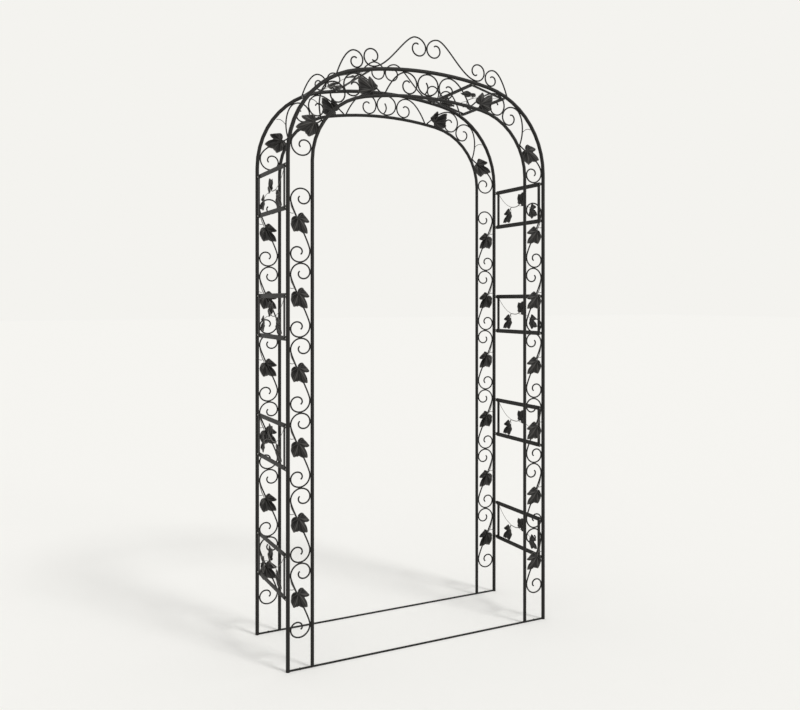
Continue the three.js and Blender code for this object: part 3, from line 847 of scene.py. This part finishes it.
def dome_head(name, diameter, height, neck):
    """A dome-headed fastener along +X, from its straight neck to the top of its head."""
    clear_selection()
    bpy.ops.mesh.primitive_circle_add(
        vertices=HEAD_SIDES, radius=diameter / 2 * MM, fill_type="NOTHING",
        rotation=(0, math.pi / 2, 0),
    )
    head = settle(bpy.context.object)
    head.name = name
    start_editing(head)
    rings = [(neck, 1)] + [(share * height, narrowing) for share, narrowing in DOME_RINGS]
    reach = 0
    for rise, share in rings:
        reach += rise
        extrude((rise * MM, 0, 0))
        bpy.ops.transform.resize(value=(1, share, share), center_override=(reach * MM, 0, 0))
    return smooth(closed_outwards(head), degrees=50)


def ladder_panel(name):
    """A panel about the origin in the YZ plane, its inner face towards -X."""
    rail = RAIL_SPACING / 2
    parts = [panel_rail("upper_rail", rail), panel_rail("lower_rail", -rail)]
    for side in (-1, 1):
        across = side * UPRIGHT_SPACING / 2
        parts.append(strip(
            "upright", RAIL_SPACING + UPRIGHT_OVERLAP, STRIP_WIDTH, UPRIGHT_THICKNESS,
            (UPRIGHT_X, across, 0), upright=True,
        ))
    frame_work = joined(name, parts)
    applied(
        frame_work, "BEVEL", width=STRIP_EDGE * MM, segments=3,
        limit_method="ANGLE", angle_limit=math.radians(40),
    )
    return smooth(frame_work, degrees=35)


def fasteners(name, diameter, height, across, outer_face):
    """Four dome heads on a panel's outer face, with their partners on its inner one."""
    head = dome_head("head", diameter, height, neck=0.5)
    heads = []
    for y in (-across, across):
        for z in (-RAIL_SPACING / 2, RAIL_SPACING / 2):
            heads.append(copied(head, "head_copy", shift(outer_face, y, z)))
            heads.append(copied(head, "head_copy", shift(-STRIP_THICKNESS / 2, y, z) @ HALF_TURN))
    bpy.data.objects.remove(head)
    return joined(name, heads)


# Materials

def linear(hex_colour):
    """Linear colour of an sRGB hex value."""
    channels = [int(hex_colour[index:index + 2], 16) / 255 for index in (1, 3, 5)]
    return [c / 12.92 if c <= 0.04045 else ((c + 0.055) / 1.055) ** 2.4 for c in channels] + [1]


def add_node(owner, kind, inputs=None, links=None, **settings):
    """Add a shader node to a material or world, with its settings, its input values, and links
    from other nodes' outputs.
    """
    node = owner.node_tree.nodes.new(kind)
    for key, value in settings.items():
        setattr(node, key, value)
    for key, value in (inputs or {}).items():
        node.inputs[key].default_value = value
    for key, socket in (links or {}).items():
        owner.node_tree.links.new(socket, node.inputs[key])
    return node


# Sockets of a Mix node that mixes colours
MIX_FACTOR, MIX_FIRST, MIX_SECOND, MIX_RESULT = 0, 6, 7, 2

# Coating thickness drifts over a hand's width
DRIFT_WIDTH = 70

# Pointiness of a hollow or flat place, which gets no painted highlight and stays dark as painted
# shade, and of a raised edge or vein, which gets the full painted highlight
FLAT, HIGHLIT_RIDGE = 0.495, 0.56


def coated(name, colour, thin_colour, gloss, grain, ior=1.25, metallic=0, ridge_highlight=None):
    """A coating on metal, whose colour and gloss drift slowly, over a fine grain.

    The gloss is its roughness and how far that drifts. The grain is its size and its height, which
    is drawn greater than the real one, so that it shows.
    """
    roughness, gloss_drift = gloss
    grain_size, grain_height = grain
    material = bpy.data.materials.new(name)
    material.use_nodes = True
    material.node_tree.nodes.clear()
    place = add_node(material, "ShaderNodeTexCoord").outputs["Object"]
    drift = add_node(
        material, "ShaderNodeTexNoise",
        {"Scale": 1 / (DRIFT_WIDTH * MM), "Detail": 4, "Roughness": 0.6}, {"Vector": place},
    )
    tone = add_node(
        material, "ShaderNodeMix", {MIX_FIRST: linear(colour), MIX_SECOND: linear(thin_colour)},
        {MIX_FACTOR: drift.outputs["Fac"]}, data_type="RGBA",
    )
    if ridge_highlight:
        # A paler colour is painted along raised edges and veins as a painted highlight, so that the
        # hollows stay darkest as painted shade
        relief = add_node(material, "ShaderNodeNewGeometry").outputs["Pointiness"]
        ridge_highlight_mask = add_node(
            material, "ShaderNodeMapRange", {"From Min": FLAT, "From Max": HIGHLIT_RIDGE},
            {"Value": relief},
        )
        tone = add_node(
            material, "ShaderNodeMix", {MIX_SECOND: linear(ridge_highlight)},
            {MIX_FACTOR: ridge_highlight_mask.outputs["Result"], MIX_FIRST: tone.outputs[MIX_RESULT]},
            data_type="RGBA",
        )
    shine = add_node(
        material, "ShaderNodeMapRange",
        {"To Min": roughness - gloss_drift, "To Max": roughness + gloss_drift},
        {"Value": drift.outputs["Fac"]},
    )
    speckle = add_node(
        material, "ShaderNodeTexNoise", {"Scale": 1 / (grain_size * MM), "Detail": 2},
        {"Vector": place},
    )
    bump = add_node(
        material, "ShaderNodeBump", {"Strength": 0.5, "Distance": grain_height * MM},
        {"Height": speckle.outputs["Fac"]},
    )
    shader = add_node(
        material, "ShaderNodeBsdfPrincipled", {"IOR": ior, "Metallic": metallic},
        {"Base Color": tone.outputs[MIX_RESULT], "Roughness": shine.outputs["Result"],
         "Normal": bump.outputs["Normal"]},
    )
    add_node(material, "ShaderNodeOutputMaterial", None, {"Surface": shader.outputs["BSDF"]})
    return material


# Black polyester powder coat on steel tube, wire and strip, sprayed on dry and baked. It gives a
# warm black in a soft satin with a broad, weak shine, and orange peel about 2.5 mm wide. Its IOR
# is below that of clear polyester, because the fine matting weakens the shine at flat angles.
POWDER_COAT = coated(
    "satin_black_powder_coat", "#1d1c1b", "#262523", gloss=(0.5, 0.06), grain=(2.5, 0.25),
)

# Black paint on sand-cast iron leaves, with a dull grey painted highlight along raised veins and
# edges, so that the hollows stay darkest as painted shade. The casting's grit is drawn as coarse
# as 4 mm, so that it shows.
CAST_PAINT = coated(
    "black_paint_on_cast_leaf", "#0d0c0b", "#171615", gloss=(0.5, 0.08), grain=(4, 0.5),
    # The grey along raised veins and edges is a painted highlight, and the dark hollows are painted
    # shade
    ridge_highlight="#62605d",
)

# Zinc-plated steel bolt heads, cold-formed and then plated in a bath. They are a dull pale grey
# metal, bright beside the black, and some are a little paler than others. Their fine dimples are
# drawn as coarse as 1.5 mm, so that they show.
BOLT_ZINC = coated(
    "zinc_plated_bolt_head", "#8f8f8c", "#a5a5a1", gloss=(0.45, 0.05), grain=(1.5, 0.1),
    ior=1.5, metallic=1,
)


def finish(piece, material, node):
    """Give a piece its finish and body, and hide the CAD node that it stands for."""
    piece.data.materials.clear()
    piece.data.materials.append(material)
    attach(piece, "root")
    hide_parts(node)


# The arch

def both_frames(piece, name, material, node):
    """Finish a front piece and its mirror image in the rear frame."""
    rear = copied(piece, "rear_" + name, MIRROR_Y)
    piece.name = "front_" + name
    finish(piece, material, "front_" + node)
    finish(rear, material, "rear_" + node)


def all_four(piece, name, material, node):
    """Finish a piece of the front right leg and its three mirror images."""
    left = copied(piece, "left", MIRROR_X)
    both_frames(piece, "right_" + name, material, "right_" + node)
    both_frames(left, "left_" + name, material, "left_" + node)


bead = weld_bead()

# Posts and arch tubes
all_four(post("post", OUTER, 0), "outer_post_tube", POWDER_COAT, "outer_post")
all_four(post("post", INNER, GROUND_BAR), "inner_post_tube", POWDER_COAT, "inner_post")
both_frames(arch_tube("tube", OUTER), "outer_bow", POWDER_COAT, "outer_arch_tube")
both_frames(arch_tube("tube", INNER), "inner_bow", POWDER_COAT, "inner_arch_tube")

# Ground bar, with the bolted lap near each end
bar_length = 2 * (OUTER.half_width - OUTER.diameter / 2)
bar = strip("bar", bar_length, GROUND_BAR, GROUND_BAR, (0, 0, 0))
bar.matrix_world = shift(0, -FRAME_Y, GROUND_BAR / 2) @ Matrix.Rotation(math.pi / 2, 4, "Z")
settle(bar)
applied(bar, "BEVEL", width=GROUND_BAR_EDGE * MM, segments=2)
smooth(bar, degrees=35)
lap_head = dome_head("lap_head", diameter=7, height=2, neck=0.8)
laps = []
for side in (-1, 1):
    for face in (-1, 1):
        across = side * (OUTER.half_width + INNER.half_width) / 2
        turn = Matrix.Rotation(face * math.pi / 2, 4, "Z")
        where = shift(across, -FRAME_Y + face * GROUND_BAR / 2, LAP_BOLT_HEIGHT)
        laps.append(copied(lap_head, "lap", where @ turn))
bpy.data.objects.remove(lap_head)
both_frames(joined("bar", [bar, *laps]), "ground_rail", POWDER_COAT, "ground_bar")

# Leg scrolls, each welded where it touches the posts and its neighbours
scroll_route, band_middle, contact = leg_scroll_route()
one_scroll = bent("scroll", scroll_route.moved(band_middle, 0), WIRE)
half_turn_up = Route(contact, math.pi / 2).coil(2 * contact.x, COIL[:3], 1).at
scroll_parts = [one_scroll]
for place in (contact, -contact, half_turn_up, -half_turn_up):
    where = Vector((band_middle + place.x + math.copysign(WIRE / 2, place.x), place.y))
    scroll_parts.append(copied(bead, "weld", in_front_plane(where, math.pi / 2)))
one_scroll = joined("scroll", scroll_parts)
scrolls = []
for index in range(LEG_SCROLLS):
    scrolls.append(copied(one_scroll, "scroll", shift(0, 0, LEG_TOP - index * LEG_PITCH)))
bpy.data.objects.remove(one_scroll)
all_four(joined("scrolls", scrolls), "leg_scroll_wires", POWDER_COAT, "leg_scrolls")

# Leaves of the leg scrolls, modelled as they stand on the front left leg
big_leaf = vine_leaf("big_leaf")
FRONT = Vector((0, -1, 0))


def on_front(point):
    """Place of a leaf's point on the front of the wire."""
    return FRONT_PLANE.at(point) + FRONT * LEAF_LIFT * MM


def leg_leaf(centre, base, tip):
    """A leaf with its stalk and twig, on the mirror image of a scroll with a given middle."""

    def place(point):
        return Vector((-centre.x - point[0], centre.y + point[1]))

    where = leaf_place(on_front(place(base)), on_front(place(tip)), FRONT)
    pieces = [copied(big_leaf, "leaf", where)]
    # The stalk leaves the outer post beside the stem, and the twig steadies it
    drop = base.y - LEAF_LEVEL
    stalk = STALK_TOP + [(x, y + drop) for x, y in STALK_BOTTOM] + [base + STALK_END]
    twig = [(x, y + drop) for x, y in TWIG_LINE]
    for name, line, thickness in (("stalk", stalk, STALK), ("twig", twig, TWIG)):
        route = route_through(eased([place(point) for point in line]))
        pieces.append(bent(name, route, thickness))
    return pieces


def leg_leaves(base, tip):
    """All leaves of the front left leg."""
    pieces = []
    for index in range(LEG_SCROLLS):
        pieces += leg_leaf(Vector((band_middle, LEG_TOP - index * LEG_PITCH)), base, tip)
    return joined("leaves", pieces)


high_leaves = leg_leaves(*FRONT_LEFT_LEG_LEAF)
low_leaves = leg_leaves(*LEG_LEAF)
for leg, place in (
    ("rear_left_leg", MIRROR_Y), ("front_right_leg", MIRROR_X),
    ("rear_right_leg", MIRROR_X @ MIRROR_Y),
):
    finish(copied(low_leaves, leg + "_vine_leaves", place), CAST_PAINT, leg + "_scrolls")
bpy.data.objects.remove(low_leaves)
high_leaves.name = "front_left_leg_vine_leaves"
finish(high_leaves, CAST_PAINT, "front_left_leg_scrolls")

# Scrolls of the arch band, round the ring at the crown
crown = BandPlace(CHAIN_SHIFT)
half_height = (crown.reach_out + crown.reach_in) / 2
ring_middle = (crown.reach_out - crown.reach_in) / 2
ring_line = []
for index in range(RING_STEPS + 1):
    angle = math.pi / 2 + index * 2 * math.pi / RING_STEPS
    across, up = RING_HALF_WIDTH * math.cos(angle), half_height * math.sin(angle)
    ring_line.append(crown.at(across, ring_middle + up))
tail_line = [crown.at(point.x, point.y) for point in parabola(*RING_TAIL)]
crown_parts = [
    bent("ring", route_through(ring_line), WIRE, closed=True),
    bent("tail", route_through(tail_line), WIRE),
    bent("crown_scroll", band_route(1, CROWN_SCROLL), WIRE),
    bent("crown_scroll", band_route(-1, CROWN_SCROLL).mirrored(), WIRE),
]
both_frames(joined("crown", crown_parts), "crown_scroll_wires", POWDER_COAT, "crown_scrolls")


def band_point(side, point, shifted=CHAIN_SHIFT):
    """Place of a point given along the band and outwards, in a chain that is shifted."""
    return BandPlace(point.x + side * shifted).at(0, point.y)


for side_name, side in (("right", 1), ("left", -1)):
    node = side_name + "_arch_scrolls"
    lines = [
        (band_route(side, scroll), WIRE)
        for scroll in (UPPER_LEAF_SCROLL, SHOULDER_SCROLL, LOWER_LEAF_SCROLL)
    ]
    tendril = route_through([band_point(side, point) for point in parabola(*TENDRIL)])
    lines.append((tendril, TWIG))
    parts = [bent("wire", line if side > 0 else line.mirrored(), size) for line, size in lines]
    both_frames(joined("scrolls", parts), side_name + "_band_scroll_wires", POWDER_COAT, node)
    leaves = []
    for scroll, leaf in (
        (UPPER_LEAF_SCROLL, UPPER_BAND_LEAF), (LOWER_LEAF_SCROLL, LOWER_BAND_LEAF),
    ):
        shifted = scroll["coil_shift"]
        foot = Vector((scroll["foot"], -BandPlace(scroll["foot"] + side * shifted).reach_in))
        base, tip = (band_point(side, foot + place, shifted) for place in leaf)
        place = leaf_place(on_front(base), on_front(tip), FRONT)
        place = place @ Matrix.Diagonal((BAND_LEAF_SPREAD, BAND_LEAF_SPREAD, 1, 1))
        leaves.append(copied(big_leaf, "leaf", place if side > 0 else MIRROR_X @ place))
    both_frames(joined("leaves", leaves), side_name + "_band_vine_leaves", CAST_PAINT, node)

# Crest
for side_name, side in (("right", 1), ("left", -1)):
    for route, kind in zip(crest_routes(side), ("crest_s", "crest_c")):
        wire = bent("crest", route if side > 0 else route.mirrored(), WIRE)
        both_frames(wire, f"{side_name}_{kind}_wire", POWDER_COAT, f"{side_name}_{kind}_scroll")

# A ladder panel with black rivets where its uprights cross the rails, and zinc bolts in its tabs
rivets = fasteners(
    "rivets", diameter=7, height=2, across=UPRIGHT_SPACING / 2, outer_face=UPRIGHT_FACE,
)
panel = joined("panel", [ladder_panel("panel"), rivets])
bolts = fasteners(
    "bolts", diameter=6.6, height=2.6, across=TAB_BOLT, outer_face=STRIP_THICKNESS / 2,
)

# The vine in a panel: wires with their points along Y and up, from a corner of the opening, and
# leaves with their stalk end, their tip, the side that they face and their share of a leg leaf
opening_corner = (UPRIGHT_SPACING / 2 - STRIP_WIDTH / 2, RAIL_SPACING / 2 - STRIP_WIDTH / 2)
vine_wires = [
    (FINE_TWIG, [opening_corner, (120, 42), (87, 18), (46, 1)]),
    (TWIG + 1, [(48, 1.5), (13.5, 0), (-8, 5), (-26, 16), (-36, 23)]),
    (TWIG, [(47, 1), (55, -2), (60, -10), (63, -23)]),
    (TWIG, [(50, 2), (54, -5), (50, -15)]),
    (FINE_TWIG, [(-6, 4), (-28, 0), (-66, -3), (-104, -18)]),
]
vine_leaves = [
    ((1, 62, -20), (-2, 110, -67), Vector((1, -0.1, 0)), 0.9),
    ((-4, -34, 12), (-6, -66, 62), Vector((1, 0.1, 0)), 0.8),
    ((-2, -104, -18), (-6, -156, -54), Vector((-1, 0.1, 0)), 0.85),
]
vine_parts = [
    bent("vine", route_through(eased(line)), size, PANEL_PLANE, sides=TWIG_SIDES)
    for size, line in vine_wires
]
for base, tip, faced, scale in vine_leaves:
    place = leaf_place(Vector(base) * MM, Vector(tip) * MM, faced)
    vine_parts.append(copied(big_leaf, "leaf", place @ Matrix.Scale(scale, 4)))
vine = joined("vine", vine_parts)


def add_ladder_part(side_name, number, place):
    """Put a panel, its bolts and its vine in place. The shoulder's vine is the other way up."""
    panel_name = f"{side_name}_{number}"
    for piece, suffix, material, node in (
        (panel, "rails", POWDER_COAT, "panel"),
        (bolts, "bolts", BOLT_ZINC, "panel"),
        (vine, "vine_insert", CAST_PAINT, "vine"),
    ):
        turned_over = Matrix()
        node_name = f"{side_name}_{node}_{number}"
        if number == "shoulder":
            node_name = f"{side_name}_shoulder_{node}"
            if node == "vine":
                turned_over = Matrix.Rotation(math.pi, 4, "X")
        finish(copied(piece, f"{panel_name}_{suffix}", place @ turned_over), material, node_name)


def shoulder_place():
    """Place and tilt of a shoulder panel, both of whose rails lie on the outer tube's line."""
    centre, half = OUTER.crown_length, RAIL_SPACING / 2
    for _ in range(SHOULDER_ROUNDS):
        upper, lower = OUTER.point(centre - half), OUTER.point(centre + half)
        middle = (upper + lower) / 2
        centre += SHOULDER_PANEL_X - middle.x
        half *= RAIL_SPACING / (upper - lower).length
    tilt = math.atan2(lower.x - upper.x, upper.y - lower.y)
    return shift(middle.x, 0, middle.y) @ Matrix.Rotation(-tilt, 4, "Y")


for side_name, turned in (("right", Matrix.Identity(4)), ("left", HALF_TURN)):
    for number, height in enumerate(PANEL_HEIGHTS, start=1):
        add_ladder_part(side_name, str(number), turned @ shift(OUTER.half_width, 0, height))
    add_ladder_part(side_name, "shoulder", turned @ shoulder_place())

for model in (big_leaf, panel, bolts, vine, bead):
    bpy.data.objects.remove(model)


# Stage, lights and camera. The floor is a matt pale sheet, and the backdrop has the colour that the
# sheet shows far away under these lights.
FLOOR_COLOUR = "#f3f2ee"
BACKDROP_COLOUR = "#f4f3ef"
FLOOR_SIZE = 120
SKYLIGHT = 0.75

clear_selection()
bpy.ops.mesh.primitive_plane_add(size=FLOOR_SIZE)
floor = settle(bpy.context.object)
floor.name = "floor"
floor_material = bpy.data.materials.new("matt_pale_studio_floor")
floor_material.use_nodes = True
floor_material.node_tree.nodes.clear()
matt = add_node(floor_material, "ShaderNodeBsdfDiffuse", {"Color": linear(FLOOR_COLOUR)})
add_node(floor_material, "ShaderNodeOutputMaterial", None, {"Surface": matt.outputs["BSDF"]})
floor.data.materials.append(floor_material)

world = bpy.data.worlds.new("studio")
bpy.context.scene.world = world
world.use_nodes = True
world.node_tree.nodes.clear()
rays = add_node(world, "ShaderNodeLightPath")
seen = rays.outputs["Is Camera Ray"]
for ray in ("Is Glossy Ray", "Is Transmission Ray"):
    links = {0: seen, 1: rays.outputs[ray]}
    seen = add_node(world, "ShaderNodeMath", None, links, operation="MAXIMUM").outputs[0]
skylight = add_node(
    world, "ShaderNodeBackground", {"Color": (1, 1, 1, 1), "Strength": SKYLIGHT},
)
backdrop = add_node(
    world, "ShaderNodeBackground", {"Color": linear(BACKDROP_COLOUR), "Strength": 1},
)
mixed = add_node(
    world, "ShaderNodeMixShader", None,
    {0: seen, 1: skylight.outputs[0], 2: backdrop.outputs[0]},
)
add_node(world, "ShaderNodeOutputWorld", None, {"Surface": mixed.outputs[0]})


def sun(name, strength, softness, elevation, azimuth):
    """A soft lamp whose light comes from an azimuth, counted from the front towards the right.

    Its softness, elevation and azimuth are in degrees.
    """
    clear_selection()
    bpy.ops.object.light_add(type="SUN")
    lamp = bpy.context.object
    lamp.name = name
    lamp.data.energy = strength
    lamp.data.angle = math.radians(softness)
    lamp.rotation_euler = (math.radians(90 - elevation), 0, math.radians(azimuth))


sun("key", strength=0.88, softness=10, elevation=51.5, azimuth=26)
sun("low_front_light", strength=0.85, softness=16, elevation=12, azimuth=34)

# The camera stands level at chest height, to the left of the arch, in metres and radians
CAMERA_PLACE = (-1.5642, -3.0876, 1.3581)
CAMERA_HEADING = -0.4645
SENSOR_WIDTH = 36
FOCAL_LENGTH = 37.29
CAMERA_SHIFT = -0.0671

bpy.ops.object.camera_add(location=CAMERA_PLACE, rotation=(math.pi / 2, 0, CAMERA_HEADING))
camera = bpy.context.object
camera.name = "camera"
camera.data.sensor_width = SENSOR_WIDTH
camera.data.lens = FOCAL_LENGTH
camera.data.shift_y = CAMERA_SHIFT
bpy.context.scene.camera = camera
bpy.context.scene.view_settings.view_transform = "Standard"
